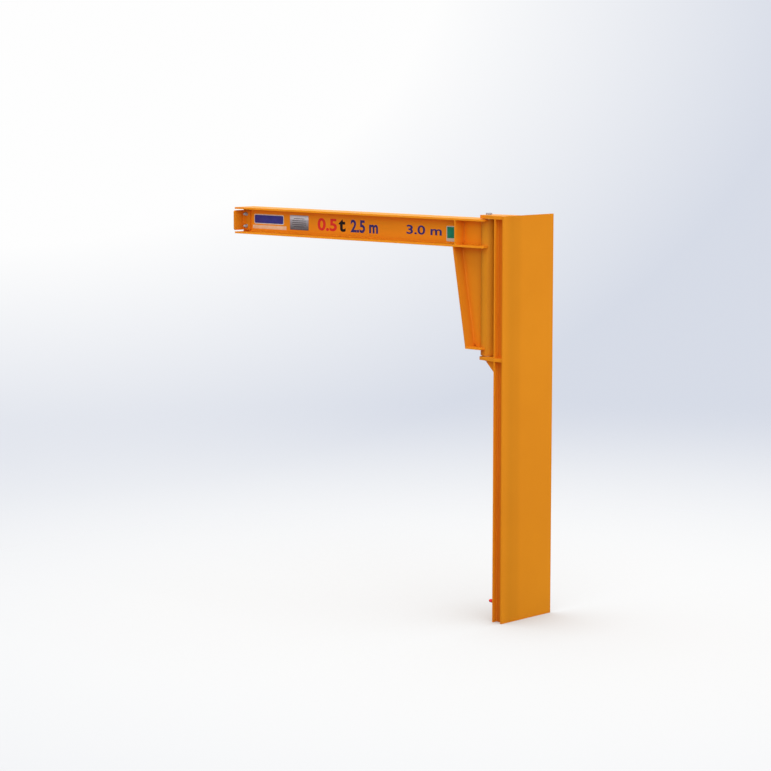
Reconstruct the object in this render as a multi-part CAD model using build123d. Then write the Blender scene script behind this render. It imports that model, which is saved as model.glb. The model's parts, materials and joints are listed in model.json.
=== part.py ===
from build123d import *
import os

# Slewing jib crane on a full-height post. Millimetres, +Z up.
# The origin is on the post's wall face, at floor level, on the centre line of post and boom.
# The boom reaches out along -X. Left is -Y for someone who looks out along the boom.

# Post
post_height = 3000.0
back_plate_thick = 12.0
back_plate_left = 108.0
back_plate_right = 452.0
box_width = 125.0
box_depth = 75.0
box_wall = 5.0
box_corner = 7.5
front_plate_thick = 10.0
front_plate_width = 200.0

# Brackets that hold the pivot
bracket_thick = 25.0
bracket_nose_width = 140.0
bracket_nose_reach = 32.0
bracket_nose_radius = 18.0
lower_bracket_top = 1962.0
gusset_leg = 100.0
gusset_thick = 10.0
gusset_toe = 12.0
gusset_snipe = 14.0

# Pivot
pivot_out = 236.0
shaft_diameter = 60.0
running_clearance = 0.08
bush_wall = 15.0
bush_length = 70.0
washer_thick = 6.0
washer_diameter = 96.0
washer_float = 0.3
sleeve_diameter = 114.3
pivot_bolt_size = 27.0
pivot_bolt_flats = 41.0
pivot_bolt_head = 14.0
pivot_bolt_depth = 60.0
bolt_hole_clearance = 1.0
weld_gap = 0.3

# Boom, a rolled wide-flange section
boom_depth = 210.0
boom_width = 205.0
boom_flange = 14.2
boom_web = 9.3
boom_root_radius = 11.4
boom_tip_out = 2869.0
boom_cope_out = 203.0
boom_top_clearance = 6.0
stiffener_out = 481.0
stiffener_thick = 10.0
stiffener_snipe = 16.0

# Knee bracket under the boom
knee_flange_width = 200.0
knee_flange_thick = 12.0
knee_web_thick = 10.0
knee_foot_thick = 12.0
knee_top_out = 505.0
knee_bottom_out = 375.0
knee_above_sleeve_end = 44.0
knee_cope_out = 222.0
knee_snipe = 18.0

# End stops at the tip, one angle on each side of the web
stop_height = 158.0
stop_stand = 115.0
stop_web_leg = 89.0
stop_thick = 12.0
stop_root_radius = 9.0
stop_corner_radius = 14.0
stop_bolt_size = 16.0
stop_bolt_flats = 24.0
stop_bolt_inset = 47.0
stop_bolt_spacing = 96.0
stop_bolt_head = 10.0
stop_nut = 14.8
stop_washer_diameter = 30.0
stop_washer_thick = 3.0
stop_thread_end = 14.5

# Trim
data_plate_length = 208.0
data_plate_height = 115.0
data_plate_thick = 2.0
data_plate_corner = 6.0
data_plate_out = 2224.0
stud_cap_height = 154.0
stud_cap_inset = 20.0
stud_cap_diameter = 30.0
stud_cap_reach = 47.0
stud_cap_draw = 12.0

# Places that follow from the sizes above
front_face_out = back_plate_thick + box_depth + front_plate_thick
nose_out = pivot_out + bracket_nose_reach
cap_underside = post_height - bracket_thick
lower_bracket_underside = lower_bracket_top - bracket_thick
sleeve_radius = sleeve_diameter / 2
bush_radius = shaft_diameter / 2 + bush_wall
sleeve_top = cap_underside - washer_thick - washer_float
sleeve_bottom = lower_bracket_top + washer_thick
knee_underside = sleeve_bottom + knee_above_sleeve_end
boom_top = cap_underside - boom_top_clearance
boom_middle = boom_top - boom_depth / 2
boom_underside = boom_top - boom_depth
cope_radius = sleeve_radius + weld_gap
web_bay = (boom_width - boom_web) / 2
gusset_line = (box_width - box_wall) / 2
clear_depth = boom_depth - 2 * boom_flange


def box(x_from, x_to, y_from, y_to, z_from, z_to):
    """A block between two corners."""
    size = (x_to - x_from, y_to - y_from, z_to - z_from)
    middle = ((x_from + x_to) / 2, (y_from + y_to) / 2, (z_from + z_to) / 2)
    return Pos(*middle) * Box(*size)


def upright(radius, z_from, z_to):
    """A round bar that stands on the pivot line."""
    return Pos(-pivot_out, 0, (z_from + z_to) / 2) * Cylinder(radius, z_to - z_from)


def side_shape(points, thick):
    """A plate in the plane of boom and post, set on the centre line."""
    outline = make_face(Polyline([(x, 0, z) for x, z in points], close=True))
    return extrude(outline, thick / 2, dir=(0, 1, 0), both=True)


# Post


def make_back_plate():
    return box(-back_plate_thick, 0, -back_plate_left, back_plate_right, 0, post_height)


def make_post_box():
    """Rectangular hollow section with rounded corners."""
    outer = RectangleRounded(box_depth, box_width, box_corner)
    inner = RectangleRounded(box_depth - 2 * box_wall, box_width - 2 * box_wall, box_corner - box_wall)
    middle = back_plate_thick + box_depth / 2
    return Pos(-middle, 0, 0) * extrude(outer - inner, cap_underside)


def make_front_plate():
    half = front_plate_width / 2
    inner_face = front_face_out - front_plate_thick
    return box(-front_face_out, -inner_face, -half, half, 0, cap_underside)


def bracket_plate(root_out, top):
    """Flat plate that tapers from the post to the pivot, with a rounded nose."""
    root = front_plate_width / 2
    nose = bracket_nose_width / 2
    points = [
        (-root_out, -root),
        (-front_face_out, -root),
        (-nose_out, -nose),
        (-nose_out, nose),
        (-front_face_out, root),
        (-root_out, root),
    ]
    if root_out == front_face_out:
        points = points[1:5]
    outline = make_face(Polyline(points, close=True))
    nose_corners = outline.vertices().group_by(Axis.X)[0]
    outline = fillet(nose_corners, bracket_nose_radius)
    plate = Pos(0, 0, top - bracket_thick) * extrude(outline, bracket_thick)
    return plate - upright((pivot_bolt_size + bolt_hole_clearance) / 2, top - bracket_thick, top)


def make_gusset(side):
    """Triangular plate under the lower bracket, in line with a side wall of the box section."""
    top = lower_bracket_underside
    post = -front_face_out
    outer = post - gusset_leg
    bottom = top - gusset_leg
    points = [
        (post - gusset_snipe, top),
        (outer, top),
        (outer, top - gusset_toe),
        (post - gusset_toe, bottom),
        (post, bottom),
        (post, top - gusset_snipe),
    ]
    return Pos(0, side * gusset_line, 0) * side_shape(points, gusset_thick)


def make_recess_stiffener(side):
    """Plate between front and back plate, in line with the lower bracket."""
    y_inner = box_width / 2
    y_outer = front_plate_width / 2
    inner_face = front_face_out - front_plate_thick
    low, high = sorted((side * y_inner, side * y_outer))
    return box(-inner_face, -back_plate_thick, low, high, lower_bracket_underside, lower_bracket_top)


def make_stud_cap():
    """Cap with a drawn-in end over a stud on the front plate."""
    body = Cylinder(stud_cap_diameter / 2, stud_cap_reach, align=(Align.CENTER, Align.CENTER, Align.MIN))
    rim = body.edges().filter_by(GeomType.CIRCLE).sort_by(Axis.Z)[-1]
    y = stud_cap_inset - front_plate_width / 2
    place = Plane(origin=(-front_face_out, y, stud_cap_height), z_dir=(-1, 0, 0))
    return place * chamfer(rim, stud_cap_draw, stud_cap_draw / 2)


# Pivot


def hexagon_head(flats, height):
    return extrude(RegularPolygon(flats / 2, 6, major_radius=False), height)


def make_pivot_shaft():
    """Pin between the two brackets, tapped at each end for a bolt."""
    shaft = upright(shaft_diameter / 2, lower_bracket_top, cap_underside)
    hole = pivot_bolt_size / 2 + running_clearance
    shaft -= upright(hole, cap_underside - pivot_bolt_depth, cap_underside)
    return shaft - upright(hole, lower_bracket_top, lower_bracket_top + pivot_bolt_depth)


def make_pivot_bolt(end):
    """Bolt through a bracket into the shaft; end is 1 on top and -1 below."""
    reach = bracket_thick + pivot_bolt_depth - running_clearance
    bolt = hexagon_head(pivot_bolt_flats, pivot_bolt_head)
    bolt += Pos(0, 0, -reach / 2) * Cylinder(pivot_bolt_size / 2, reach)
    if end > 0:
        return Pos(-pivot_out, 0, post_height) * bolt
    return Pos(-pivot_out, 0, lower_bracket_underside) * Rot(180, 0, 0) * bolt


def make_thrust_washer(z_from):
    outer = upright(washer_diameter / 2, z_from, z_from + washer_thick)
    bore = upright(shaft_diameter / 2 + running_clearance, z_from, z_from + washer_thick)
    return outer - bore


def make_bush(z_from):
    outer = upright(bush_radius, z_from, z_from + bush_length)
    bore = upright(shaft_diameter / 2 + running_clearance, z_from, z_from + bush_length)
    return outer - bore


def make_pivot_sleeve():
    """Tube that carries the boom and turns on the shaft."""
    outer = upright(sleeve_radius, sleeve_bottom, sleeve_top)
    return outer - upright(bush_radius, sleeve_bottom, sleeve_top)


# Boom


def boom_section():
    """Wide-flange outline with root fillets."""
    outline = Rectangle(boom_width, boom_depth)
    for side in (-1, 1):
        centre = side * (boom_web + web_bay) / 2
        outline -= Pos(centre, 0) * Rectangle(web_bay, clear_depth)
    roots = outline.vertices().filter_by(lambda v: abs(v.X) < boom_web)
    return fillet(roots, boom_root_radius)


def make_boom_beam():
    """Rolled beam, coped round the sleeve and drilled at the tip."""
    start = Plane(origin=(-boom_tip_out, 0, boom_middle), x_dir=(0, 1, 0), z_dir=(1, 0, 0))
    beam = extrude(start * boom_section(), boom_tip_out - boom_cope_out)
    beam -= upright(cope_radius, boom_underside, boom_top)
    for z in stop_bolt_heights():
        beam -= stop_hole(z)
    return beam


def make_web_stiffener(side):
    """Plate between the flanges, snipped clear of the root fillets."""
    outline = Rectangle(web_bay, clear_depth)
    inner = outline.vertices().filter_by(lambda v: v.X * side < 0)
    outline = chamfer(inner, stiffener_snipe)
    start = Plane(
        origin=(-stiffener_out - stiffener_thick / 2, 0, boom_middle), x_dir=(0, 1, 0), z_dir=(1, 0, 0)
    )
    middle = side * (boom_web + web_bay) / 2
    return extrude(start * Pos(middle, 0) * outline, stiffener_thick)


# Knee


def knee_outer_face(z):
    """How far out the sloping flange's outer face is at a height."""
    rise = boom_underside - knee_underside
    return knee_bottom_out + (knee_top_out - knee_bottom_out) * (z - knee_underside) / rise


def knee_inner_face(z):
    slope = (knee_top_out - knee_bottom_out) / (boom_underside - knee_underside)
    return knee_outer_face(z) - knee_flange_thick * (1 + slope**2) ** 0.5


def make_knee_flange():
    low = knee_underside + knee_foot_thick
    points = [
        (-knee_outer_face(low), low),
        (-knee_outer_face(boom_underside), boom_underside),
        (-knee_inner_face(boom_underside), boom_underside),
        (-knee_inner_face(low), low),
    ]
    return side_shape(points, knee_flange_width)


def make_knee_web():
    """Web between flange, boom and sleeve, snipped at its three corners."""
    low = knee_underside + knee_foot_thick
    top = boom_underside
    points = [
        (-knee_inner_face(low + knee_snipe), low + knee_snipe),
        (-knee_inner_face(top - knee_snipe), top - knee_snipe),
        (-knee_inner_face(top) + knee_snipe, top),
        (-pivot_out, top),
        (-pivot_out, low),
        (-knee_inner_face(low) + knee_snipe, low),
    ]
    return side_shape(points, knee_web_thick) - upright(cope_radius, low, top)


def make_knee_foot_plate():
    half = knee_flange_width / 2
    low = knee_underside
    top = low + knee_foot_thick
    plate = box(-knee_outer_face(top), -knee_cope_out, -half, half, low, top)
    return plate - upright(cope_radius, low, top)


# End stops


def stop_bolt_heights():
    return [boom_middle + side * stop_bolt_spacing / 2 for side in (-1, 1)]


def stop_hole(z):
    """Bolt hole through web and both angles."""
    radius = (stop_bolt_size + bolt_hole_clearance) / 2
    x = stop_bolt_inset - boom_tip_out
    return Pos(x, 0, z) * Rot(90, 0, 0) * Cylinder(radius, 2 * stop_stand)


def make_end_stop(side):
    """Angle bolted to the web; its standing leg stops the trolley."""
    tip = -boom_tip_out
    web_face = boom_web / 2
    points = [
        (tip, web_face),
        (tip + stop_web_leg, web_face),
        (tip + stop_web_leg, web_face + stop_thick),
        (tip + stop_thick, web_face + stop_thick),
        (tip + stop_thick, stop_stand),
        (tip, stop_stand),
    ]
    outline = make_face(Polyline([(x, side * y) for x, y in points], close=True))
    root = outline.vertices().sort_by_distance((tip + stop_thick, side * (web_face + stop_thick)))[0]
    outline = fillet(root, stop_root_radius)
    angle = Pos(0, 0, boom_middle - stop_height / 2) * extrude(outline, stop_height)
    corners = angle.edges().filter_by(Axis.X).sort_by(Axis.Y, reverse=side > 0)[:2]
    angle = fillet(corners, stop_corner_radius)
    for z in stop_bolt_heights():
        angle -= stop_hole(z)
    return angle


def make_stop_bolt(z):
    """Through bolt with a washer on each side and its nut on the left."""
    grip = boom_web / 2 + stop_thick
    nut_end = grip + stop_washer_thick + stop_nut
    washer = Cylinder(stop_washer_diameter / 2, stop_washer_thick, align=(Align.CENTER,) * 2 + (Align.MIN,))
    head = hexagon_head(stop_bolt_flats, stop_bolt_head)
    nut = hexagon_head(stop_bolt_flats, stop_nut)
    thread = nut_end + stop_thread_end
    shank = Cylinder(stop_bolt_size / 2, thread + grip, align=(Align.CENTER,) * 2 + (Align.MIN,))
    bolt = Pos(0, 0, -grip) * shank
    bolt += Pos(0, 0, grip) * washer
    bolt += Pos(0, 0, grip + stop_washer_thick) * nut
    bolt += Rot(180, 0, 0) * Pos(0, 0, grip) * washer
    bolt += Rot(180, 0, 0) * Pos(0, 0, grip + stop_washer_thick) * head
    place = Plane(origin=(stop_bolt_inset - boom_tip_out, 0, z), z_dir=(0, -1, 0))
    return place * bolt


def make_data_plate():
    """Bare plate on the left face of the web."""
    outline = RectangleRounded(data_plate_length, data_plate_height, data_plate_corner)
    place = Plane(origin=(-data_plate_out, -boom_web / 2, boom_middle), x_dir=(1, 0, 0), z_dir=(0, -1, 0))
    return extrude(place * outline, data_plate_thick)


pieces = {
    "back_plate": make_back_plate(),
    "post_box_section": make_post_box(),
    "front_plate": make_front_plate(),
    "cap_plate": bracket_plate(back_plate_thick, post_height),
    "lower_bracket_plate": bracket_plate(front_face_out, lower_bracket_top),
    "pivot_shaft": make_pivot_shaft(),
    "top_pivot_bolt": make_pivot_bolt(1),
    "bottom_pivot_bolt": make_pivot_bolt(-1),
    "upper_thrust_washer": make_thrust_washer(cap_underside - washer_thick),
    "lower_thrust_washer": make_thrust_washer(lower_bracket_top),
    "red_stud_cap": make_stud_cap(),
    "pivot_sleeve": make_pivot_sleeve(),
    "upper_bush": make_bush(sleeve_top - bush_length),
    "lower_bush": make_bush(sleeve_bottom),
    "boom_beam": make_boom_beam(),
    "knee_flange": make_knee_flange(),
    "knee_web": make_knee_web(),
    "knee_foot_plate": make_knee_foot_plate(),
    "data_plate": make_data_plate(),
}
for name, side in (("left", -1), ("right", 1)):
    pieces[f"bracket_gusset_{name}"] = make_gusset(side)
    pieces[f"recess_stiffener_{name}"] = make_recess_stiffener(side)
    pieces[f"web_stiffener_{name}"] = make_web_stiffener(side)
    pieces[f"end_stop_{name}"] = make_end_stop(side)
for name, z in zip(("lower", "upper"), stop_bolt_heights()):
    pieces[f"stop_bolt_{name}"] = make_stop_bolt(z)

os.makedirs("parts", exist_ok=True)
for name, solid in pieces.items():
    export_step(solid, f"parts/{name}.step")
print(len(pieces), "pieces written")
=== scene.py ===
import json
from math import acos, atan2, cos, pi, radians, sin, tan
import bpy
import bmesh
from mathutils import Matrix, Vector

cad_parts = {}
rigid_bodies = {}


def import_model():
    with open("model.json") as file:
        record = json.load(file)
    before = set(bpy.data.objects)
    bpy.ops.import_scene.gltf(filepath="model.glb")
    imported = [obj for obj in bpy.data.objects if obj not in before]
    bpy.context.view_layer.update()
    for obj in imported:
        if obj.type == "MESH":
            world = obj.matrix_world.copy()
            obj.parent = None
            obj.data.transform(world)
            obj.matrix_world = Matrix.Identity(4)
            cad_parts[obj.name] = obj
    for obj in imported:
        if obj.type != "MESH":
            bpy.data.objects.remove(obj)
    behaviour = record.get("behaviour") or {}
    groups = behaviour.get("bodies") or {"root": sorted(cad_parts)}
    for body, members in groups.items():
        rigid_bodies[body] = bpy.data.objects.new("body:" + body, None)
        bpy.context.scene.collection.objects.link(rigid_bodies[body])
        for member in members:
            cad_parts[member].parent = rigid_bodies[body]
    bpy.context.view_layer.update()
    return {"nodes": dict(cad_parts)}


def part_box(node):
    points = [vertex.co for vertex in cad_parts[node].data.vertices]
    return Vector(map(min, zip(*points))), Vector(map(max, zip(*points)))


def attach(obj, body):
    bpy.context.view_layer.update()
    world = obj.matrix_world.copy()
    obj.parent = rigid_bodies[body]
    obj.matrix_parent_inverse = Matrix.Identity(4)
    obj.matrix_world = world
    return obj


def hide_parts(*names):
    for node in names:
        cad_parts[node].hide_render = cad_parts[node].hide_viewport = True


# Wall-backed jib crane, in metres: +X points out of the back plate, the boom runs along -X, +Z is up.
for leftover in list(bpy.data.objects):
    bpy.data.objects.remove(leftover)
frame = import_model()
nodes = frame["nodes"]
mm = 0.001
left = Vector((0, -1, 0))
right = Vector((0, 1, 0))
up = Vector((0, 0, 1))
down = Vector((0, 0, -1))
outward = Vector((1, 0, 0))
inward = Vector((-1, 0, 0))
print("frame:", len(nodes), "nodes")


# Materials

noiseSpan = (0.3, 0.7)  # most of a noise's values lie between these


def newMaterial(name):
    made = bpy.data.materials.new(name)
    made.use_nodes = True
    made.node_tree.nodes.clear()
    return made, made.node_tree


def addNode(tree, kind, inputs=None, **settings):
    node = tree.nodes.new(kind)
    for key, value in settings.items():
        setattr(node, key, value)
    for key, value in (inputs or {}).items():
        node.inputs[key].default_value = value
    return node


def join(tree, source, output, target, slot):
    tree.links.new(source.outputs[output], target.inputs[slot])


def objectPoint(tree, scale=(1, 1, 1)):
    place = addNode(tree, "ShaderNodeTexCoord")
    stretch = addNode(tree, "ShaderNodeMapping", {"Scale": scale})
    join(tree, place, "Object", stretch, "Vector")
    return stretch


def noiseOn(tree, point, scale, detail, roughness):
    grain = addNode(tree, "ShaderNodeTexNoise", {"Scale": scale, "Detail": detail, "Roughness": roughness})
    join(tree, point, "Vector", grain, "Vector")
    return grain


def rampOn(tree, source, output, stops):
    ramp = addNode(tree, "ShaderNodeValToRGB")
    band = ramp.color_ramp
    band.interpolation = "EASE"
    while len(band.elements) < len(stops):
        band.elements.new(0.5)
    for element, (place, colour) in zip(band.elements, stops):
        element.position = place
        element.color = (*colour, 1)
    join(tree, source, output, ramp, "Fac")
    return ramp


def spread(tree, source, output, low, high, newLow, newHigh, kind="SMOOTHSTEP"):
    limits = {"From Min": low, "From Max": high, "To Min": newLow, "To Max": newHigh}
    stretch = addNode(tree, "ShaderNodeMapRange", limits, interpolation_type=kind)
    join(tree, source, output, stretch, "Value")
    return stretch


def along(tree, axis, low, high):
    # runs from 0 to 1 between two stations on the piece
    apart = addNode(tree, "ShaderNodeSeparateXYZ")
    join(tree, objectPoint(tree), "Vector", apart, "Vector")
    return spread(tree, apart, axis, low, high, 0, 1, "LINEAR")


def noiseTones(tree, noise, dark, light):
    low, high = noiseSpan
    return rampOn(tree, noise, "Fac", [(low, dark), (high, light)])


def noiseGloss(tree, noise, smooth, rough):
    low, high = noiseSpan
    return spread(tree, noise, "Fac", low, high, smooth, rough)


def grey(value):
    return (value, value, value)


def blended(tree, source, output, first, second):
    mix = addNode(tree, "ShaderNodeMix", data_type="RGBA")
    mix.inputs["A"].default_value = (*first, 1)
    mix.inputs["B"].default_value = (*second, 1)
    join(tree, source, output, mix, "Factor")
    return mix


def shaded(tree, shade, output, tone, toneOutput):
    darker = addNode(tree, "ShaderNodeMix", {"Factor": 1.0}, data_type="RGBA", blend_type="MULTIPLY")
    tree.links.new(shade.outputs[output], darker.inputs["A"])
    tree.links.new(tone.outputs[toneOutput], darker.inputs["B"])
    return darker


def surface(tree, shader):
    out = addNode(tree, "ShaderNodeOutputMaterial")
    join(tree, shader, 0, out, "Surface")


paintLook = {
    "fresh": (0.730, 0.263, 0.0125),
    "deep": (0.700, 0.247, 0.0114),
    "ior": 1.5,
    "shine": 0.04,
    "roughLow": 0.34,
    "roughHigh": 0.46,
    "cloudNoise": (1.7, 4.0, 0.55),  # scale, detail and roughness, here and below
    "peelNoise": (420.0, 2.0, 0.4),
    "glossNoise": (14.0, 5.0, 0.6),
    "peelStrength": 0.35,
    "peelDepth": 0.12 * mm,
    "edgeRadius": 1.2 * mm,
    "edgeSamples": 4,
    # the painted corner shade: its reach, samples, upward lean and darkest tone
    "cornerReach": 55 * mm,
    "cornerSamples": 8,
    "cornerLean": 0.5,
    "paintedShadeTone": (0.96, 0.54, 0.48),
}


def castTone(key, cast):
    return tuple(part * share for part, share in zip(paintLook[key], cast))


def paintedCornerShade(tree):
    # painted shade: the paint is darkened in corners and recesses, most of all under an edge
    look = paintLook
    facing = addNode(tree, "ShaderNodeNewGeometry")
    lean = addNode(tree, "ShaderNodeVectorMath", operation="ADD")
    lean.inputs[1].default_value = (0, 0, look["cornerLean"])
    join(tree, facing, "Normal", lean, 0)
    towards = addNode(tree, "ShaderNodeVectorMath", operation="NORMALIZE")
    join(tree, lean, 0, towards, 0)
    corner = addNode(tree, "ShaderNodeAmbientOcclusion", {"Distance": look["cornerReach"]},
                     samples=look["cornerSamples"])
    join(tree, towards, 0, corner, "Normal")
    return blended(tree, corner, "AO", look["paintedShadeTone"], grey(1))


def makePaint(name, band=None, cast=(1, 1, 1)):
    look = paintLook
    made, tree = newMaterial(name)
    point = objectPoint(tree)
    cloud = noiseOn(tree, point, *look["cloudNoise"])
    source, output = noiseTones(tree, cloud, castTone("deep", cast), castTone("fresh", cast)), "Color"
    if band:  # a painted reflection, a faint darker band down the plate, and painted shading that changes a little with height
        across = rampOn(tree, along(tree, "Y", band["from"], band["to"]), "Result", band["tones"])
        lift = rampOn(tree, along(tree, "Z", 0, band["tall"]), "Result", band["lift"])
        source = shaded(tree, shaded(tree, source, output, across, "Color"), "Result", lift, "Color")
        output = "Result"
    # painted shade in corners and under edges, multiplied into the paint
    source = shaded(tree, source, output, paintedCornerShade(tree), "Result")
    peel = noiseOn(tree, point, *look["peelNoise"])
    gloss = noiseGloss(tree, noiseOn(tree, point, *look["glossNoise"]), look["roughLow"], look["roughHigh"])
    softEdge = addNode(tree, "ShaderNodeBevel", {"Radius": look["edgeRadius"]}, samples=look["edgeSamples"])
    bump = addNode(tree, "ShaderNodeBump", {"Strength": look["peelStrength"], "Distance": look["peelDepth"]})
    join(tree, peel, "Fac", bump, "Height")
    join(tree, softEdge, "Normal", bump, "Normal")
    shader = addNode(tree, "ShaderNodeBsdfPrincipled",
                     {"IOR": look["ior"], "Specular IOR Level": look["shine"]})
    join(tree, source, "Result", shader, "Base Color")
    join(tree, gloss, "Result", shader, "Roughness")
    join(tree, bump, "Normal", shader, "Normal")
    surface(tree, shader)
    return made


metalLook = {
    "cloudNoise": (60.0, 4.0, 0.6),
    "grainDetail": 3.0,
    "grainRough": 0.6,
    "grainStrength": 0.5,
    "smoother": 0.07,
    "rougher": 0.08,
    "roundGrain": (1, 1, 40),
    "crossGrain": (1, 1, 60),
}


def makeMetal(name, light, dark, roughness, grainScale, stretch=(1, 1, 1), depth=0.04 * mm, bare=1.0,
              fade=None):
    look = metalLook
    made, tree = newMaterial(name)
    cloud = noiseOn(tree, objectPoint(tree), *look["cloudNoise"])
    source, output = noiseTones(tree, cloud, dark, light), "Color"
    if fade:  # a painted reflection: darkest at the foot and palest a little below the top
        rise = rampOn(tree, along(tree, "Z", fade["low"], fade["high"]), "Result", fade["tones"])
        source, output = shaded(tree, source, output, rise, "Color"), "Result"
    grain = noiseOn(tree, objectPoint(tree, stretch), grainScale, look["grainDetail"], look["grainRough"])
    gloss = noiseGloss(tree, grain, roughness - look["smoother"], roughness + look["rougher"])
    bump = addNode(tree, "ShaderNodeBump", {"Strength": look["grainStrength"], "Distance": depth})
    join(tree, grain, "Fac", bump, "Height")
    shader = addNode(tree, "ShaderNodeBsdfPrincipled", {"Metallic": bare})
    join(tree, source, output, shader, "Base Color")
    join(tree, gloss, "Result", shader, "Roughness")
    join(tree, bump, "Normal", shader, "Normal")
    surface(tree, shader)
    return made


coatLook = {
    "cloudNoise": (22.0, 4.0, 0.6),
    "grainDetail": 2.0,
    "grainRough": 0.5,
    "grainStrength": 0.4,
    "smoother": 0.05,
    "rougher": 0.06,
}


def makeCoat(name, light, dark, roughness, shine, grainScale=700.0, depth=0.03 * mm):
    look = coatLook
    made, tree = newMaterial(name)
    point = objectPoint(tree)
    cloud = noiseOn(tree, point, *look["cloudNoise"])
    colour = noiseTones(tree, cloud, dark, light)
    grain = noiseOn(tree, point, grainScale, look["grainDetail"], look["grainRough"])
    gloss = noiseGloss(tree, cloud, roughness - look["smoother"], roughness + look["rougher"])
    bump = addNode(tree, "ShaderNodeBump", {"Strength": look["grainStrength"], "Distance": depth})
    join(tree, grain, "Fac", bump, "Height")
    shader = addNode(tree, "ShaderNodeBsdfPrincipled", {"Specular IOR Level": shine})
    join(tree, colour, "Color", shader, "Base Color")
    join(tree, gloss, "Result", shader, "Roughness")
    join(tree, bump, "Normal", shader, "Normal")
    surface(tree, shader)
    return made


# painted reflection: a faint darker band across the back plate; and painted shading that changes a little
# with height
platePaintedLight = {
    "from": -0.108,
    "to": 0.452,
    "tones": [(0.0, grey(0.99)), (0.17, grey(0.885)), (0.27, grey(0.91)), (0.40, grey(0.99)),
              (0.9, grey(1.0))],
    "tall": 3.0,
    "lift": [(0.0, grey(0.96)), (0.12, grey(0.975)), (0.5, grey(0.965)), (1.0, grey(0.95))],
}
# painted reflection on the data plate, from its foot to its top
platePaintedReflection = {
    "low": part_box("data_plate")[0].z,
    "high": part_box("data_plate")[1].z,
    "tones": [(0.0, grey(0.20)), (0.15, grey(0.26)), (0.4, grey(0.43)), (0.62, grey(0.62)),
              (0.8, grey(1.0)), (0.9, grey(0.80)), (1.0, grey(0.52))],
}
piecePaintedShade = {  # painted light and shade: these pieces get a darker tint where they stand in shade, the boom a lighter one
    "paintOnTubePaintedShade": {"pieces": ["pivot_sleeve"], "cast": (0.80, 0.87, 1.15)},
    "paintInRecessPaintedShade": {"pieces": ["post_box_section"], "cast": (0.87, 0.75, 0.96)},
    "paintOnKneeFlangePaintedShade": {"pieces": ["knee_flange"], "cast": (0.87, 0.83, 1.00)},
    "paintOnKneeWebPaintedShade": {"pieces": ["knee_web"], "cast": (0.95, 0.97, 1.20)},
    "paintOnBoomPaintedLight": {"pieces": ["boom_beam"], "cast": (1.07, 1.08, 1.08)},
    "paintOnStopsPaintedShade": {"pieces": ["end_stop_left", "end_stop_right"], "cast": (0.90, 0.87, 1.00)},
}
paint = makePaint("orangePaint")
platePaint = makePaint("orangePaintWithPaintedLight", platePaintedLight)
weldPaint = makePaint("orangePaintOnWelds", None, (0.88, 0.85, 1.00))
zincSteel = makeMetal("zincSteel", (0.41, 0.44, 0.49), (0.31, 0.33, 0.37), 0.52, 900.0, bare=0.5)
turnedSteel = makeMetal("turnedSteel", (0.52, 0.52, 0.53), (0.42, 0.42, 0.43), 0.27, 60.0,
                        metalLook["roundGrain"], 0.02 * mm)
bronze = makeMetal("bronze", (0.55, 0.33, 0.13), (0.42, 0.24, 0.09), 0.36, 60.0,
                   metalLook["roundGrain"], 0.03 * mm)
plateMetal = makeMetal("plateAluminium", (0.80, 0.725, 0.705), (0.68, 0.61, 0.595), 0.42, 30.0,
                       metalLook["crossGrain"], 0.01 * mm, fade=platePaintedReflection)
redPlastic = makeCoat("redPlastic", (0.80, 0.035, 0.03), (0.70, 0.020, 0.018), 0.42, 0.2, 900.0, 0.02 * mm)
markRed = makeCoat("markRed", (0.70, 0.035, 0.022), (0.60, 0.025, 0.016), 0.42, 0.12)
markBlack = makeCoat("markBlack", (0.014, 0.014, 0.014), (0.009, 0.009, 0.010), 0.5, 0.05)
markBlue = makeCoat("markBlue", (0.035, 0.030, 0.185), (0.026, 0.022, 0.135), 0.42, 0.15)
labelBlue = makeCoat("labelBlue", (0.040, 0.042, 0.300), (0.030, 0.032, 0.235), 0.35, 0.15)
labelPale = makeCoat("labelPale", (0.80, 0.60, 0.42), (0.72, 0.50, 0.33), 0.40, 0.12)
labelGrey = makeCoat("labelGrey", (0.62, 0.62, 0.58), (0.54, 0.54, 0.50), 0.40, 0.12)
labelGreen = makeCoat("labelGreen", (0.004, 0.250, 0.160), (0.003, 0.200, 0.125), 0.36, 0.15)
engraved = makeCoat("engravedFill", (0.060, 0.052, 0.052), (0.040, 0.035, 0.036), 0.55, 0.1)

slotLooks = {
    "orange_paint": paint,
    "zinc_steel": zincSteel,
    "turned_steel": turnedSteel,
    "bronze": bronze,
    "plate_aluminium": plateMetal,
    "red_plastic": redPlastic,
}
for node in nodes.values():
    slot = node.material_slots[0]
    slot.material = slotLooks[slot.material.name.split(".")[0]]
nodes["back_plate"].material_slots[0].material = platePaint
# give each of these pieces its painted shade or painted light
for name, pieceShade in piecePaintedShade.items():
    shadedPiecePaint = makePaint(name, None, pieceShade["cast"])
    for piece in pieceShade["pieces"]:
        nodes[piece].material_slots[0].material = shadedPiecePaint
print("materials: paint, metals, plastic and marks")


# Making and finishing pieces

mergeGap = 0.005 * mm
creaseAngle = 32


def finish(name, bm, body, material, replaced=()):
    bmesh.ops.remove_doubles(bm, verts=bm.verts, dist=mergeGap)
    bmesh.ops.recalc_face_normals(bm, faces=bm.faces)
    for face in bm.faces:
        face.smooth = True
    for edge in bm.edges:
        edge.smooth = edge.is_manifold and edge.calc_face_angle(0) < radians(creaseAngle)
    mesh = bpy.data.meshes.new(name)
    bm.to_mesh(mesh)
    bm.free()
    mesh.materials.append(material)
    piece = bpy.data.objects.new(name, mesh)
    bpy.context.scene.collection.objects.link(piece)
    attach(piece, body)
    if replaced:
        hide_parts(*replaced)
    return piece


def addMesh(bm, other, matrix):
    other.transform(matrix)
    held = bpy.data.meshes.new("held")
    other.to_mesh(held)
    other.free()
    bm.from_mesh(held)
    bpy.data.meshes.remove(held)


def pointing(place, direction):
    turn = direction.to_track_quat("Z", "Y").to_matrix().to_4x4()
    return Matrix.Translation(place) @ turn


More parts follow.
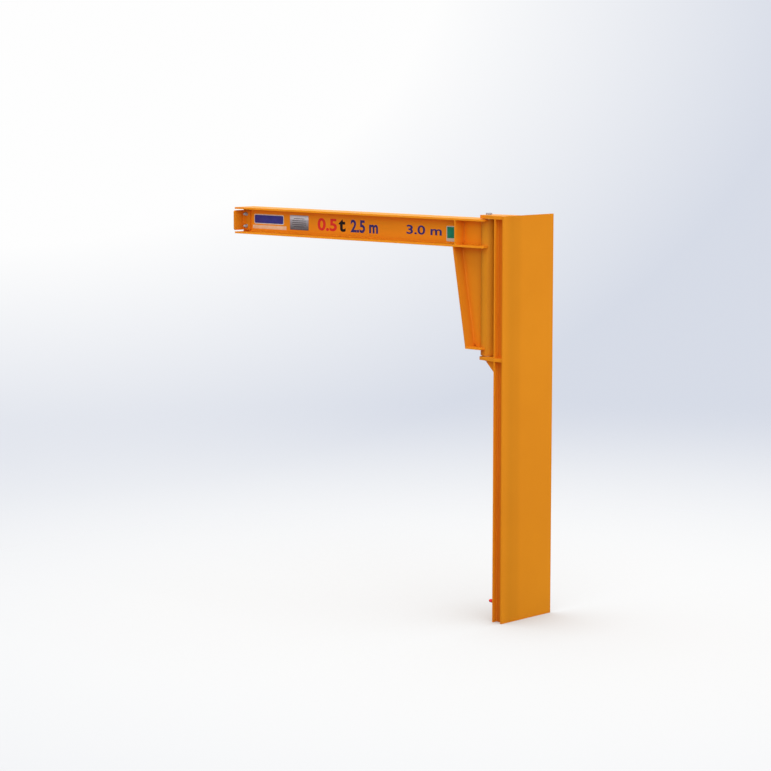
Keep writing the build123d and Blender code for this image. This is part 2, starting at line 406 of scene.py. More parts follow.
def turned(profile, steps=48):
    # spins a half profile of (radius, height) round Z and closes its poles
    poleGap = 0.002 * mm
    bm = bmesh.new()
    ring = [bm.verts.new((radius, 0, height)) for radius, height in profile]
    edges = [bm.edges.new(pair) for pair in zip(ring, ring[1:])]
    bmesh.ops.spin(bm, geom=ring + edges, cent=(0, 0, 0), axis=(0, 0, 1), angle=2 * pi, steps=steps,
                   use_merge=True, use_duplicate=False)
    bmesh.ops.remove_doubles(bm, verts=bm.verts, dist=poleGap)
    return bm


hexForm = {
    "steps": 72,
    "seatShare": 0.475,  # the round seat's radius, of the width across flats
    "chamfer": 30,
}


def hexRadius(angle, acrossFlats):
    sixth = pi / 3
    return acrossFlats / 2 / cos((angle + sixth / 2) % sixth - sixth / 2)


def hexBlock(acrossFlats, low, high, lowChamfer, highChamfer, bore=0.0):
    # grows a hexagon upwards ring by ring; the chamfer is the cone that turns the corners down
    bm = bmesh.new()
    bmesh.ops.create_circle(bm, cap_ends=False, segments=hexForm["steps"], radius=acrossFlats / 2)
    seat = acrossFlats * hexForm["seatShare"]
    slope = tan(radians(hexForm["chamfer"]))

    def coned(angle, edge, sign):
        radius = hexRadius(angle, acrossFlats)
        return radius, edge - sign * (radius - seat) * slope

    stages = []
    if lowChamfer:
        stages.append(lambda angle: (seat, low))
        stages.append(lambda angle: coned(angle, low, -1))
    else:
        stages.append(lambda angle: (hexRadius(angle, acrossFlats), low))
    if highChamfer:
        stages.append(lambda angle: coned(angle, high, 1))
        stages.append(lambda angle: (seat, high))
    else:
        stages.append(lambda angle: (hexRadius(angle, acrossFlats), high))
    if bore:
        stages.append(lambda angle: (bore / 2, high))
        stages.append(lambda angle: (bore / 2, low))
    edges = list(bm.edges)
    ring = list(bm.verts)
    for number, stage in enumerate(stages):
        if number:
            grown = bmesh.ops.extrude_edge_only(bm, edges=edges)["geom"]
            ring = [item for item in grown if isinstance(item, bmesh.types.BMVert)]
            edges = [item for item in grown if isinstance(item, bmesh.types.BMEdge)]
        for vert in ring:
            angle = atan2(vert.co.y, vert.co.x)
            radius, height = stage(angle)
            vert.co = (radius * cos(angle), radius * sin(angle), height)
    if bore:
        firstRing = [edge for edge in bm.edges if edge.is_boundary and edge not in edges]
        bmesh.ops.bridge_loops(bm, edges=edges + firstRing)
    else:
        bmesh.ops.holes_fill(bm, edges=bm.edges, sides=0)
    return bm


threadForm = {
    "steps": 32,
    "depth": 0.61,  # these three are shares of the pitch
    "crestFrom": 0.45,
    "crestTo": 0.58,
}


def threaded(major, pitch, low, high):
    # a full turn of a zigzag that rises one pitch, so its ends meet as a running thread; both ends are cut
    form = threadForm
    seamGap = 0.01 * mm
    spareTurns = 3
    steps = form["steps"]
    crest = major / 2
    root = crest - form["depth"] * pitch
    turns = int((high - low) / pitch) + spareTurns
    zigzag = []
    for turn in range(turns + 1):
        base = low + (turn - spareTurns / 2) * pitch
        crestFrom, crestTo = base + form["crestFrom"] * pitch, base + form["crestTo"] * pitch
        zigzag += [(root, base), (crest, crestFrom), (crest, crestTo)]
    zigzag.append((root, low + (turns + 1 - spareTurns / 2) * pitch))
    bm = bmesh.new()
    verts = [bm.verts.new((radius, 0, height)) for radius, height in zigzag]
    edges = [bm.edges.new(pair) for pair in zip(verts, verts[1:])]
    bmesh.ops.spin(bm, geom=verts + edges, cent=(0, 0, 0), axis=(0, 0, 1), dvec=(0, 0, pitch / steps),
                   angle=2 * pi, steps=steps, use_merge=False, use_duplicate=False)
    bmesh.ops.remove_doubles(bm, verts=bm.verts, dist=seamGap)
    for height, normal in ((low, (0, 0, -1)), (high, (0, 0, 1))):
        cut = bmesh.ops.bisect_plane(bm, geom=list(bm.verts) + list(bm.edges) + list(bm.faces),
                                     plane_co=(0, 0, height), plane_no=normal, clear_outer=True)
        rim = [item for item in cut["geom_cut"] if isinstance(item, bmesh.types.BMEdge)]
        bmesh.ops.holes_fill(bm, edges=rim, sides=0)
    return bm


# Fasteners, each standing for its CAD node

stopBolt = {
    "size": 16 * mm,
    "pitch": 2 * mm,
    "acrossFlats": 24 * mm,
    "head": 10 * mm,
    "nut": 14.8 * mm,
    "boreLess": 0.4 * mm,
    "washerWide": 30 * mm,
    "washerThick": 3 * mm,
    "washerBevel": 0.5 * mm,
    "threadStart": 1.5 * mm,
    "threadEnd": 14.5 * mm,
    "threadInNut": 4 * mm,
    "tipFlatLess": 1.9 * mm,
    "tipLess": 0.9 * mm,
    "tipCone": 1.0 * mm,
    "tipHigh": 1.6 * mm,
    "shankLess": 0.3 * mm,
    "shankInNut": 3 * mm,
    "shankInHead": 1 * mm,
}


def washerOutline(spec, hole):
    wide, thick, bevel = spec["washerWide"] / 2, spec["washerThick"], spec["washerBevel"]
    return [(hole, 0), (wide - bevel, 0), (wide, bevel), (wide, thick - bevel), (wide - bevel, thick),
            (hole, thick), (hole, 0)]


def makeStopBolt(name, node):
    low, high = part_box(node)
    spec = stopBolt
    bm = bmesh.new()
    axis = (low + high) / 2
    base = Vector((axis.x, low.y, axis.z))  # thread end, on the left of the web
    length = high.y - low.y
    radius = spec["size"] / 2
    nutLow = spec["threadEnd"]
    nutHigh = nutLow + spec["nut"]
    headLow = length - spec["head"]
    way = pointing(base, right)
    bore = spec["size"] - spec["boreLess"]
    washer = washerOutline(spec, bore / 2)
    addMesh(bm, threaded(spec["size"], spec["pitch"], spec["threadStart"], nutLow + spec["threadInNut"]), way)
    tip = [(0, 0), (radius - spec["tipFlatLess"], 0), (radius - spec["tipLess"], spec["tipCone"]),
           (radius - spec["tipLess"], spec["tipHigh"]), (0, spec["tipHigh"])]
    addMesh(bm, turned(tip), way)
    shankLow, shankHigh = nutLow + spec["shankInNut"], headLow + spec["shankInHead"]
    shank = [(0, shankLow), (radius - spec["shankLess"], shankLow), (radius - spec["shankLess"], shankHigh),
             (0, shankHigh)]
    addMesh(bm, turned(shank), way)
    addMesh(bm, hexBlock(spec["acrossFlats"], nutLow, nutHigh, True, True, bore), way)
    addMesh(bm, turned(washer), way @ Matrix.Translation((0, 0, nutHigh)))
    addMesh(bm, turned(washer), way @ Matrix.Translation((0, 0, headLow - spec["washerThick"])))
    addMesh(bm, hexBlock(spec["acrossFlats"], headLow, length, False, True), way)
    return finish(name, bm, "jib", zincSteel, [node])


pivotBolt = {
    "size": 27 * mm,
    "acrossFlats": 41 * mm,
    "head": 14 * mm,
    "collar": 0.8 * mm,
    "collarInHead": 0.4 * mm,
    "shankChamfer": 1.5 * mm,
    "shankLess": 0.1 * mm,
}


def makePivotBolt(name, node, outside):
    low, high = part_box(node)
    spec = pivotBolt
    bm = bmesh.new()
    middle = (low + high) / 2
    length = high.z - low.z
    shankEnd = low.z if outside.z > 0 else high.z
    way = pointing(Vector((middle.x, middle.y, shankEnd)), outside)
    seat = length - spec["head"]
    radius = spec["size"] / 2
    chamfer = spec["shankChamfer"]
    side = radius - spec["shankLess"]
    shank = [(0, 0), (radius - chamfer, 0), (side, chamfer), (side, seat), (0, seat)]
    face = spec["acrossFlats"] * hexForm["seatShare"]
    collarTop = seat + spec["collar"] + spec["collarInHead"]
    collar = [(0, seat), (face, seat), (face, collarTop), (0, collarTop)]
    addMesh(bm, turned(shank), way)
    addMesh(bm, turned(collar), way)
    addMesh(bm, hexBlock(spec["acrossFlats"], seat + spec["collar"], length, True, True), way)
    return finish(name, bm, "post", zincSteel, [node])


for height in ("upper", "lower"):
    makeStopBolt("stop_bolt_" + height + "_fine", "stop_bolt_" + height)
makePivotBolt("top_pivot_bolt_fine", "top_pivot_bolt", up)
makePivotBolt("bottom_pivot_bolt_fine", "bottom_pivot_bolt", down)
print("fasteners: stop bolts and pivot bolts")


# Moulded cap over the stud at the post's foot

studCap = {
    "rim": 15 * mm,
    "rimThick": 3 * mm,
    "skirt": 13.2 * mm,
    "shoulder": 12.2 * mm,
    "dome": 14 * mm,
    "domeSteps": 9,
    "wall": 0.6 * mm,
    "ridges": (10 * mm, 14 * mm, 18 * mm),
    "grooveDeep": 0.5 * mm,
    "grooveFrom": 0.6 * mm,
    "grooveTo": 1.8 * mm,
    "grooveEnd": 2.4 * mm,
}


def makeStudCap():
    low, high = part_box("red_stud_cap")
    spec = studCap
    rim, rimThick, skirt, wall = spec["rim"], spec["rimThick"], spec["skirt"], spec["wall"]
    base = Vector((high.x, (low.y + high.y) / 2, (low.z + high.z) / 2))
    start = high.x - low.x - spec["dome"]
    profile = [(0, 0), (rim - wall, 0), (rim, wall), (rim, rimThick - wall), (rim - wall, rimThick),
               (skirt + wall, rimThick), (skirt, rimThick + wall)]
    waist = skirt - spec["grooveDeep"]
    for ridge in spec["ridges"]:
        profile += [(skirt, ridge), (waist, ridge + spec["grooveFrom"]), (waist, ridge + spec["grooveTo"]),
                    (skirt, ridge + spec["grooveEnd"])]
    for step in range(spec["domeSteps"] + 1):
        turn = pi / 2 * step / spec["domeSteps"]
        profile.append((spec["shoulder"] * cos(turn), start + spec["dome"] * sin(turn)))
    bm = bmesh.new()
    addMesh(bm, turned(profile), pointing(base, inward))
    return finish("red_stud_cap_fine", bm, "post", redPlastic, ["red_stud_cap"])


makeStudCap()
print("stud cap: moulded")


# Painted weld beads, laid where the plates meet

weldBead = {
    "leg": 6 * mm,
    "flareLeg": 5 * mm,
    "sunk": 0.3 * mm,
    "bulge": 0.13,
    "ripple": 0.035,
    "rippleLag": 0.4,
    "pitch": 7.5 * mm,
    "stepsPerRipple": 3,
    "across": 4,
    "endInset": 2 * mm,
    "endShare": (0.55, 0.86),
    "leastSteps": 4,
}
weldSeams = {
    "gussetSnipe": 14 * mm,
    "gussetToe": 6 * mm,
    "kneeSnipe": 20 * mm,
    "kneeFlange": 12 * mm,
    "stiffenerSnipe": 16 * mm,
    "copeTurn": 0.03,
}


def straight(start, end):
    length = (end - start).length
    steps = max(weldBead["leastSteps"], round(length / weldBead["pitch"] * weldBead["stepsPerRipple"]))
    return [start.lerp(end, step / steps) for step in range(steps + 1)]


def layBead(bm, path, alongFirst, alongSecond, leg=weldBead["leg"]):
    # path is a list of points; the two functions give the surface directions away from the corner
    spec = weldBead
    travelled = 0.0
    bead = bmesh.new()
    edges = []
    for number, point in enumerate(path):
        if number:
            travelled += (point - path[number - 1]).length
        first = alongFirst(point)
        second = alongSecond(point)
        fromEnd = min(number, len(path) - 1 - number)
        reach = leg * spec["endShare"][fromEnd] if fromEnd < len(spec["endShare"]) else leg
        toeFirst = point + first * reach - second * spec["sunk"]
        toeSecond = point + second * reach - first * spec["sunk"]
        out = (first + second).normalized()
        spots = [point - (first + second) * spec["sunk"]]
        for step in range(spec["across"] + 1):
            share = step / spec["across"]
            crown = 4 * share * (1 - share)
            wave = cos(2 * pi * (travelled / spec["pitch"] + spec["rippleLag"] * crown))
            lift = reach * crown * (spec["bulge"] + spec["ripple"] * wave)
            spots.append(toeFirst.lerp(toeSecond, share) + out * lift)
        if edges:
            grown = bmesh.ops.extrude_edge_only(bead, edges=edges)["geom"]
            edges = [item for item in grown if isinstance(item, bmesh.types.BMEdge)]
            ring = [item for item in grown if isinstance(item, bmesh.types.BMVert)]
            for vert, spot in zip(ring, spots):
                vert.co = spot
        else:
            edges = list(bead.faces.new([bead.verts.new(spot) for spot in spots]).edges)
    bmesh.ops.holes_fill(bead, edges=edges, sides=0)
    addMesh(bm, bead, Matrix.Identity(4))


def steady(direction):
    return lambda point: direction


def layStraight(bm, start, end, first, second, leg=weldBead["leg"]):
    # stops a little short of both ends, as a welder does
    away = (end - start).normalized() * weldBead["endInset"]
    first, second = steady(first.normalized()), steady(second.normalized())
    layBead(bm, straight(start + away, end - away), first, second, leg)


def weldPost():
    bm = bmesh.new()
    boxLow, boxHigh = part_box("post_box_section")
    bracketLow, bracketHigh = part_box("lower_bracket_plate")
    frontLow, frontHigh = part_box("front_plate")
    seams = ((boxLow.z, bracketLow.z - weldBead["leg"]), (bracketHigh.z + weldBead["leg"], boxHigh.z))
    walls = ((boxHigh.x, inward), (boxLow.x, outward))
    for side, y in ((left, boxLow.y), (right, boxHigh.y)):
        edge = frontLow.y if side is left else frontHigh.y
        for x, inner in walls:
            for z0, z1 in seams:
                layStraight(bm, Vector((x, y, z0)), Vector((x, y, z1)), side, inner, weldBead["flareLeg"])
        # the stiffener between the two plates, above and below
        for z, way in ((bracketHigh.z, up), (bracketLow.z, down)):
            layStraight(bm, Vector((boxLow.x, y, z)), Vector((boxHigh.x, y, z)), side, way)
            for x, inner in walls:
                layStraight(bm, Vector((x, y, z)), Vector((x, edge, z)), inner, way)
    return finish("box_section_welds", bm, "post", weldPaint)


def weldBrackets():
    bm = bmesh.new()
    bracketLow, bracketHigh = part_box("lower_bracket_plate")
    frontLow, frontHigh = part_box("front_plate")
    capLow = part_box("cap_plate")[0]
    root = frontLow.x
    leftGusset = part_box("bracket_gusset_left")
    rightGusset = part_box("bracket_gusset_right")

    def layAcross(y0, y1, z, way):
        layStraight(bm, Vector((root, y0, z)), Vector((root, y1, z)), inward, way)

    layAcross(frontLow.y, frontHigh.y, bracketHigh.z, up)
    layAcross(frontLow.y, frontHigh.y, capLow.z, down)
    layAcross(frontLow.y, leftGusset[0].y, bracketLow.z, down)
    layAcross(leftGusset[1].y, rightGusset[0].y, bracketLow.z, down)
    layAcross(rightGusset[1].y, frontHigh.y, bracketLow.z, down)
    snipe, toe = weldSeams["gussetSnipe"], weldSeams["gussetToe"]
    for low, high in (leftGusset, rightGusset):
        for y, side in ((low.y, left), (high.y, right)):
            layStraight(bm, Vector((root, y, low.z + toe)), Vector((root, y, high.z - snipe)), inward, side)
            layStraight(bm, Vector((root - snipe, y, high.z)), Vector((low.x + toe, y, high.z)), down, side)
    return finish("bracket_welds", bm, "post", weldPaint)


def weldJib():
    bm = bmesh.new()
    flangeLow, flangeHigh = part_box("knee_flange")
    webLow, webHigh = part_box("knee_web")
    footLow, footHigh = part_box("knee_foot_plate")
    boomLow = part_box("boom_beam")[0]
    sleeveLow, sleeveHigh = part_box("pivot_sleeve")
    pivotX = (sleeveLow.x + sleeveHigh.x) / 2
    sleeveRadius = (sleeveHigh.y - sleeveLow.y) / 2
    # the sloping flange runs from its outer corner at the boom to its outer corner on the foot plate
    slant = Vector((footLow.x - flangeLow.x, 0, footHigh.z - flangeHigh.z)).normalized()
    across = Vector((-slant.z, 0, slant.x))
    flangeThick = weldSeams["kneeFlange"] / abs(slant.z)
    outerTop = Vector((flangeLow.x, 0, flangeHigh.z))
    innerTop = outerTop + outward * flangeThick
    innerFoot = Vector((footLow.x + flangeThick, 0, footHigh.z))
    wholeWidth = ((flangeLow.y, flangeHigh.y),)
    besideWeb = ((flangeLow.y, webLow.y), (webHigh.y, flangeHigh.y))
    for point, runs, first, second in ((outerTop, wholeWidth, inward, slant),
                                       (innerTop, besideWeb, outward, slant),
                                       (innerFoot, besideWeb, outward, -slant)):
        for y0, y1 in runs:
            layStraight(bm, Vector((point.x, y0, point.z)), Vector((point.x, y1, point.z)), first, second)
    snipe = weldSeams["kneeSnipe"]
    faceX = pivotX - (sleeveRadius ** 2 - webHigh.y ** 2) ** 0.5
    for y, side in ((webLow.y, left), (webHigh.y, right)):
        edge = Vector((0, y, 0))
        atBoom, atFoot = Vector((faceX, y, boomLow.z)), Vector((faceX, y, footHigh.z))
        layStraight(bm, innerTop + edge + slant * snipe, innerFoot + edge - slant * snipe, side, across)
        layStraight(bm, Vector((innerTop.x + snipe, y, boomLow.z)), atBoom, side, down)
        layStraight(bm, Vector((innerFoot.x + snipe, y, footHigh.z)), atFoot, side, up)
        layStraight(bm, atFoot, atBoom, side, inward)
    return finish("knee_welds", bm, "jib", weldPaint)


def weldSleeve():
    bm = bmesh.new()
    footLow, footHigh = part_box("knee_foot_plate")
    boomLow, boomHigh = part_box("boom_beam")
    stiffLow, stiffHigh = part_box("web_stiffener_left")
    sleeveLow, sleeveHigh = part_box("pivot_sleeve")
    pivot = (sleeveLow + sleeveHigh) / 2
    radius = (sleeveHigh.y - sleeveLow.y) / 2
    webHalf = -stiffHigh.y

    def radial(point):
        return Vector((point.x - pivot.x, point.y - pivot.y, 0)).normalized()

    def arc(z, copeX):
        # round the sleeve from one end of the cope to the other, past the boom's centre line
        start = acos((copeX - pivot.x) / radius) + weldSeams["copeTurn"]
        end = 2 * pi - start
        steps = round((end - start) * radius / weldBead["pitch"] * weldBead["stepsPerRipple"])
        turns = [start + (end - start) * step / steps for step in range(steps + 1)]
        return [Vector((pivot.x + radius * cos(turn), pivot.y + radius * sin(turn), z)) for turn in turns]

    for z, copeX, way in ((footLow.z, footHigh.x, down), (footHigh.z, footHigh.x, up),
                          (boomLow.z, boomHigh.x, down), (stiffLow.z, boomHigh.x, up),
                          (stiffHigh.z, boomHigh.x, down)):
        layBead(bm, arc(z, copeX), radial, steady(way))
    faceX = pivot.x - (radius ** 2 - webHalf ** 2) ** 0.5
    for y, side in ((-webHalf, left), (webHalf, right)):
        layStraight(bm, Vector((faceX, y, stiffLow.z)), Vector((faceX, y, stiffHigh.z)), side, inward)
    return finish("sleeve_welds", bm, "jib", weldPaint)


def weldStiffeners():
    bm = bmesh.new()
    snipe = weldSeams["stiffenerSnipe"]
    for name, side in (("left", left), ("right", right)):
        low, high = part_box("web_stiffener_" + name)
        webY, edgeY = (high.y, low.y) if side is left else (low.y, high.y)
        for x, face in ((low.x, inward), (high.x, outward)):
            layStraight(bm, Vector((x, webY, low.z + snipe)), Vector((x, webY, high.z - snipe)), side, face)
            for z, way in ((low.z, up), (high.z, down)):
                layStraight(bm, Vector((x, webY + side.y * snipe, z)), Vector((x, edgeY, z)), face, way)
    return finish("stiffener_welds", bm, "jib", weldPaint)


weldPost()
weldBrackets()
weldJib()
weldSleeve()
weldStiffeners()
print("welds: post, brackets, knee, sleeve and stiffeners")


# Plates, panels and plain marks on the left of the boom's web

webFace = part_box("data_plate")[1].y
squareOn = 0.99  # the least share along Y of a direction that counts as square on
flushGap = 0.0001 * mm
webMarks = {
    "proud": 0.35 * mm,
    "layerStep": 0.6,
    "rim": 0.12 * mm,
    "cornerSteps": 6,
    "rimSteps": 2,
}


def panelBlock(x0, x1, z0, z1, thick, corner, rimBevel=0.0, lift=0.0):
    bm = bmesh.new()
    bmesh.ops.create_cube(bm, size=1)
    size = Vector((x1 - x0, thick, z1 - z0))
    bmesh.ops.scale(bm, vec=size, verts=bm.verts)
    middle = ((x0 + x1) / 2, webFace - lift - thick / 2, (z0 + z1) / 2)
    bmesh.ops.translate(bm, vec=middle, verts=bm.verts)
    standing = [edge for edge in bm.edges
                if abs((edge.verts[0].co - edge.verts[1].co).normalized().y) > squareOn]
    bmesh.ops.bevel(bm, geom=standing, affect="EDGES", offset=corner, segments=webMarks["cornerSteps"],
                    profile=0.5, material=-1)
    if rimBevel:
        front = min(vert.co.y for vert in bm.verts)
        rim = [edge for edge in bm.edges if all(abs(vert.co.y - front) < flushGap for vert in edge.verts)]
        bmesh.ops.bevel(bm, geom=rim, affect="EDGES", offset=rimBevel, segments=webMarks["rimSteps"],
                        profile=0.5, material=-1)
    return bm


dataPlate = {
    "thick": 2 * mm,
    "corner": 6 * mm,
    "rim": 0.5 * mm,
    "border": 3 * mm,
    "grooveWide": 1.2 * mm,
    "grooveDeep": 0.35 * mm,
    "grooveSlope": 0.2 * mm,
    "rivetAt": 13 * mm,
    "rivetWide": 3.4 * mm,
    "rivetHigh": 1.5 * mm,
    "rivetSunk": 0.3 * mm,
    "rivetArc": 5,
    "rivetSteps": 24,
    "rows": 5,
    "lineMargin": 26 * mm,
    "lineIndent": 18 * mm,
    "lineWide": 2.2 * mm,
    "lineThick": 0.3 * mm,
    "lineSunk": 0.15 * mm,
    "lineCorner": 0.5 * mm,
}


def makeDataPlate():
    low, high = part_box("data_plate")
    spec = dataPlate
    bm = panelBlock(low.x, high.x, low.z, high.z, spec["thick"], spec["corner"], spec["rim"])
    roundedVerts = 4 * webMarks["cornerSteps"]
    front = [face for face in bm.faces if face.normal.y < -squareOn and len(face.verts) > roundedVerts]
    bmesh.ops.inset_region(bm, faces=front, thickness=spec["border"])
    bmesh.ops.inset_region(bm, faces=front, thickness=spec["grooveSlope"], depth=-spec["grooveDeep"])
    bmesh.ops.inset_region(bm, faces=front, thickness=spec["grooveWide"])
    bmesh.ops.inset_region(bm, faces=front, thickness=spec["grooveSlope"], depth=spec["grooveDeep"])
    head = [(0, -spec["rivetSunk"]), (spec["rivetWide"], -spec["rivetSunk"])]
    for step in range(spec["rivetArc"] + 1):
        turn = pi / 2 * step / spec["rivetArc"]
        head.append((spec["rivetWide"] * cos(turn), spec["rivetHigh"] * sin(turn)))
    for x in (low.x + spec["rivetAt"], high.x - spec["rivetAt"]):
        for z in (low.z + spec["rivetAt"], high.z - spec["rivetAt"]):
            addMesh(bm, turned(head, spec["rivetSteps"]), pointing(Vector((x, low.y, z)), left))
    return finish("data_plate_fine", bm, "jib", plateMetal, ["data_plate"])


def makePlateLines():
    # blank fields: ruled lines with nothing written in them
    low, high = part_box("data_plate")
    spec = dataPlate
    bm = bmesh.new()
    margin, wide = spec["lineMargin"], spec["lineWide"]
    span = high.z - low.z - 2 * margin
    for row in range(spec["rows"]):
        z = high.z - margin - span * row / (spec["rows"] - 1)
        indent = spec["lineIndent"] if row in (0, spec["rows"] - 1) else 0
        line = panelBlock(low.x + margin + indent, high.x - margin - indent, z - wide, z + wide,
                          spec["lineThick"], spec["lineCorner"], 0, spec["thick"] - spec["lineSunk"])
        addMesh(bm, line, Matrix.Identity(4))
    return finish("data_plate_lines", bm, "jib", engraved)


makeDataPlate()
makePlateLines()

webPanels = {
    "blue_panel_keyline": {"x": (-2.744, -2.400), "z": (2.838, 2.916), "layer": 0, "corner": 14 * mm,
                           "look": labelGrey},
    "blue_panel": {"x": (-2.737, -2.407), "z": (2.845, 2.909), "layer": 1, "corner": 11 * mm,
                   "look": labelBlue},
    "pale_strip": {"x": (-2.760, -2.372), "z": (2.800, 2.829), "layer": 0, "corner": 3 * mm,
                   "look": labelPale},
    "green_panel_keyline": {"x": (-0.652, -0.502), "z": (2.788, 2.903), "layer": 0, "corner": 8 * mm,
                            "look": labelGrey},
    "green_panel": {"x": (-0.645, -0.509), "z": (2.812, 2.896), "layer": 1, "corner": 5 * mm,
                    "look": labelGreen},
}


def makePanel(name, spec):
    thick = webMarks["proud"] * (1 + webMarks["layerStep"] * spec["layer"])
    bm = panelBlock(*spec["x"], *spec["z"], thick, spec["corner"], webMarks["rim"])
    return finish(name, bm, "jib", spec["look"])


for name, spec in webPanels.items():
    makePanel(name, spec)

plainFigures = {
    "mark_load_red": {"says": "0.5", "x": (-2.019, -1.805), "z": (2.812, 2.911), "bold": 0.032,
                      "look": markRed},
    "mark_load_black": {"says": "t", "x": (-1.785, -1.710), "z": (2.812, 2.911), "bold": 0.032,
                        "look": markBlack},
    "mark_reach_blue": {"says": "2.5 m", "x": (-1.655, -1.361), "z": (2.812, 2.911), "bold": 0.032,
                        "look": markBlue},
    "mark_height_blue": {"says": "3.0 m", "x": (-1.061, -0.700), "z": (2.826, 2.895), "bold": 0.02,
                         "look": markBlue},
}


def makeMark(name, spec):
    # plain figures set between two heights and two stations on the web
    halfThick = 0.01
    letters = bpy.data.curves.new(name, "FONT")
    letters.body = spec["says"]
    letters.extrude = halfThick
    letters.offset = spec["bold"]
    letters.resolution_u = 6
    holder = bpy.data.objects.new(name, letters)
    bpy.context.scene.collection.objects.link(holder)
    held = bpy.data.meshes.new_from_object(holder.evaluated_get(bpy.context.evaluated_depsgraph_get()))
    bpy.data.objects.remove(holder)
    bpy.data.curves.remove(letters)
    bm = bmesh.new()
    bm.from_mesh(held)
    bpy.data.meshes.remove(held)
    xs = [vert.co.x for vert in bm.verts]
    ys = [vert.co.y for vert in bm.verts]
    xLow, xWide = min(xs), max(xs) - min(xs)
    yLow, yTall = min(ys), max(ys) - min(ys)
    (x0, x1), (z0, z1) = spec["x"], spec["z"]
    for vert in bm.verts:
        across = (vert.co.x - xLow) / xWide
        rise = (vert.co.y - yLow) / yTall
        proud = webMarks["proud"] * (0.5 + vert.co.z / (2 * halfThick))
        vert.co = (x0 + across * (x1 - x0), webFace - proud, z0 + rise * (z1 - z0))
    return finish(name, bm, "jib", spec["look"])


for name, spec in plainFigures.items():
    makeMark(name, spec)
print("web marks: plate, panels and plain figures")


# Floor and background

backdrop = {
    "floorSize": 60.0,
    "floorSides": 96,
    "floorColour": (0.70, 0.70, 0.705),
    "floorBounce": (0.15, 0.15, 0.15),
    "floorWhite": (0.945, 0.943, 0.944),
    "shadowTone": (0.55, 0.43, 0.37),
    "shadowReach": 4.0,
    "shadowSamples": 16,
    "contactReach": 0.8,
    "contactTone": (0.71, 0.64, 0.58),
    "domeShare": 0.86,
    "fadeStart": 1.5,
    "fadeEnd": 13.0,
    "white": (0.99, 0.99, 0.99),
    "haze": (0.676, 0.712, 0.799),
    "whiteTowards": (-0.79614, 0.60262, 0.0548),
    "whiteReach": 0.179,
    "hazeFrom": 0.333,
    "tall": 1.5,
    "warmTowards": (0.2, -0.98, 0.0),
    "warmFrom": -0.2,
    "warmTo": 0.9,
    "domeCool": (1.0, 1.0, 1.0),
    "domeWarm": (1.10, 0.93, 0.85),
    "worldStrength": 0.60,
}


def rayIsSeen(tree):
    path = addNode(tree, "ShaderNodeLightPath")
    some = addNode(tree, "ShaderNodeMath", operation="ADD")
    join(tree, path, "Is Camera Ray", some, 0)
    join(tree, path, "Is Glossy Ray", some, 1)
    more = addNode(tree, "ShaderNodeMath", operation="ADD", use_clamp=True)
    join(tree, some, 0, more, 0)
    join(tree, path, "Is Transmission Ray", more, 1)
    return more


def hollowShade(tree, reach, deep, bare):
    hollow = addNode(tree, "ShaderNodeAmbientOcclusion", {"Distance": reach},
                     samples=backdrop["shadowSamples"])
    return blended(tree, hollow, "AO", deep, bare)


def blendShaders(tree, factor, output, first, second):
    blend = addNode(tree, "ShaderNodeMixShader")
    join(tree, factor, output, blend, 0)
    join(tree, first, 0, blend, 1)
    join(tree, second, 0, blend, 2)
    return blend


def makeFloor():
    bm = bmesh.new()
    bmesh.ops.create_circle(bm, cap_ends=True, segments=backdrop["floorSides"], radius=backdrop["floorSize"])
    mesh = bpy.data.meshes.new("floor")
    bm.to_mesh(mesh)
    bm.free()
    floor = bpy.data.objects.new("floor", mesh)
    bpy.context.scene.collection.objects.link(floor)
    made, tree = newMaterial("studioFloor")
    far = addNode(tree, "ShaderNodeVectorMath", operation="LENGTH")
    join(tree, objectPoint(tree), "Vector", far, 0)
    fade = spread(tree, far, "Value", backdrop["fadeStart"], backdrop["fadeEnd"], 0, 1)
    seen = rayIsSeen(tree)
    matt = addNode(tree, "ShaderNodeBsdfDiffuse")
    bounce = blended(tree, seen, 0, backdrop["floorBounce"], backdrop["floorColour"])
    join(tree, bounce, "Result", matt, "Color")
    # a soft shadow all round, as under an even studio dome, and a deeper one where the post stands
    shade = hollowShade(tree, backdrop["shadowReach"], backdrop["shadowTone"], backdrop["floorWhite"])
    touch = hollowShade(tree, backdrop["contactReach"], backdrop["contactTone"], grey(1))
    glow = addNode(tree, "ShaderNodeEmission", {"Strength": 1.0})
    join(tree, shaded(tree, shade, "Result", touch, "Result"), "Result", glow, "Color")
    share = addNode(tree, "ShaderNodeMath", operation="MULTIPLY")
    share.inputs[1].default_value = backdrop["domeShare"]
    join(tree, seen, 0, share, 0)
    lit = blendShaders(tree, share, 0, matt, glow)
    clear = addNode(tree, "ShaderNodeBsdfTransparent")
    surface(tree, blendShaders(tree, fade, "Result", lit, clear))
    mesh.materials.append(made)


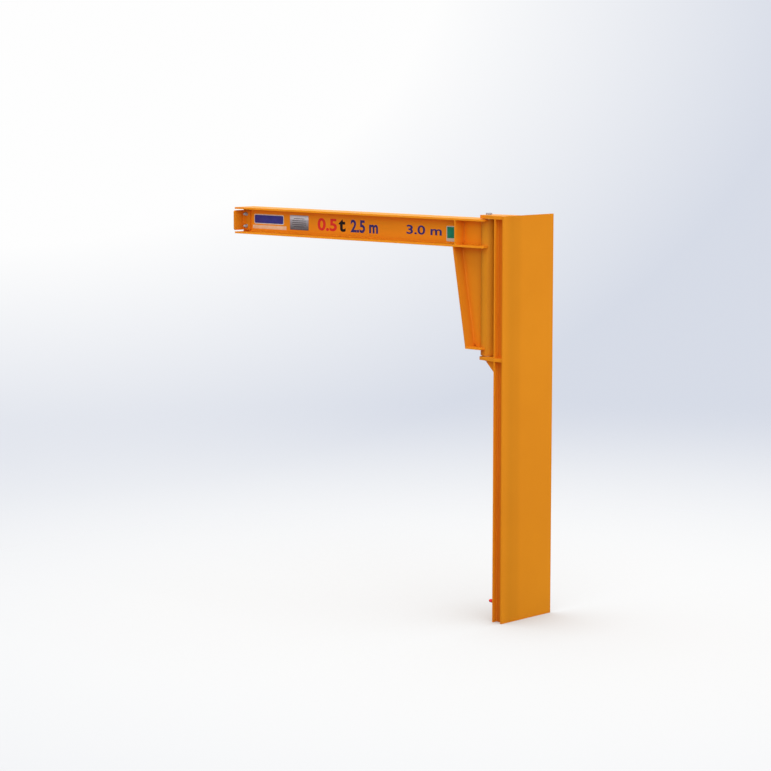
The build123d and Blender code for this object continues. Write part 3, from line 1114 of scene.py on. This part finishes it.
def makeWorld():
    world = bpy.data.worlds.new("studio")
    world.use_nodes = True
    tree = world.node_tree
    tree.nodes.clear()
    place = addNode(tree, "ShaderNodeTexCoord")
    offset = addNode(tree, "ShaderNodeVectorMath", operation="SUBTRACT")
    offset.inputs[1].default_value = backdrop["whiteTowards"]
    join(tree, place, "Generated", offset, 0)
    tall = addNode(tree, "ShaderNodeVectorMath", operation="MULTIPLY")
    tall.inputs[1].default_value = (1, 1, backdrop["tall"])
    join(tree, offset, 0, tall, 0)
    away = addNode(tree, "ShaderNodeVectorMath", operation="LENGTH")
    join(tree, tall, 0, away, 0)
    haze = spread(tree, away, "Value", backdrop["whiteReach"], backdrop["hazeFrom"], 0, 1, "LINEAR")
    seen = addNode(tree, "ShaderNodeBackground", {"Strength": 1.0})
    join(tree, blended(tree, haze, "Result", backdrop["white"], backdrop["haze"]), "Result", seen, "Color")
    # the dome's light is warmer towards the left of the boom
    warmth = addNode(tree, "ShaderNodeVectorMath", operation="DOT_PRODUCT")
    warmth.inputs[1].default_value = backdrop["warmTowards"]
    join(tree, place, "Generated", warmth, 0)
    turn = spread(tree, warmth, "Value", backdrop["warmFrom"], backdrop["warmTo"], 0, 1)
    dome = blended(tree, turn, "Result", backdrop["domeCool"], backdrop["domeWarm"])
    lit = addNode(tree, "ShaderNodeBackground", {"Strength": backdrop["worldStrength"]})
    join(tree, dome, "Result", lit, "Color")
    out = addNode(tree, "ShaderNodeOutputWorld")
    join(tree, blendShaders(tree, rayIsSeen(tree), 0, lit, seen), 0, out, "Surface")
    bpy.context.scene.world = world


makeFloor()
makeWorld()


# Lights and camera

lampSet = {
    "key": {"from": (0.8, -0.35, 3.0), "strength": 3.3, "spread": 60, "colour": (0.93, 1.0, 1.0)},
    "front": {"from": (1.0, -1.0, 0.3), "strength": 1.4, "spread": 60, "colour": (1.0, 0.95, 0.88)},
}
lampAway = 8.0


def makeLamp(name, spec):
    lamp = bpy.data.lights.new(name, "SUN")
    lamp.energy = spec["strength"]
    lamp.angle = radians(spec["spread"])
    lamp.color = spec["colour"]
    holder = bpy.data.objects.new(name, lamp)
    holder.rotation_euler = Vector(spec["from"]).to_track_quat("Z", "Y").to_euler()
    holder.location = Vector(spec["from"]).normalized() * lampAway
    bpy.context.scene.collection.objects.link(holder)


for name, spec in lampSet.items():
    makeLamp(name, spec)

cameraSetup = {
    "place": (11.4064, -13.1937, 3.9299),
    "tilt": 82.906,
    "turn": 43.891,
    "sensor": 36.0,
    "lens": 112.18,
    "far": 200.0,
}


def makeCamera():
    lens = bpy.data.cameras.new("camera")
    lens.sensor_width = cameraSetup["sensor"]
    lens.lens = cameraSetup["lens"]
    lens.clip_end = cameraSetup["far"]
    holder = bpy.data.objects.new("camera", lens)
    holder.location = cameraSetup["place"]
    holder.rotation_euler = (radians(cameraSetup["tilt"]), 0, radians(cameraSetup["turn"]))
    bpy.context.scene.collection.objects.link(holder)
    bpy.context.scene.camera = holder


makeCamera()
bpy.context.scene.view_settings.view_transform = "Standard"
print("studio: floor, background, lamps and camera")
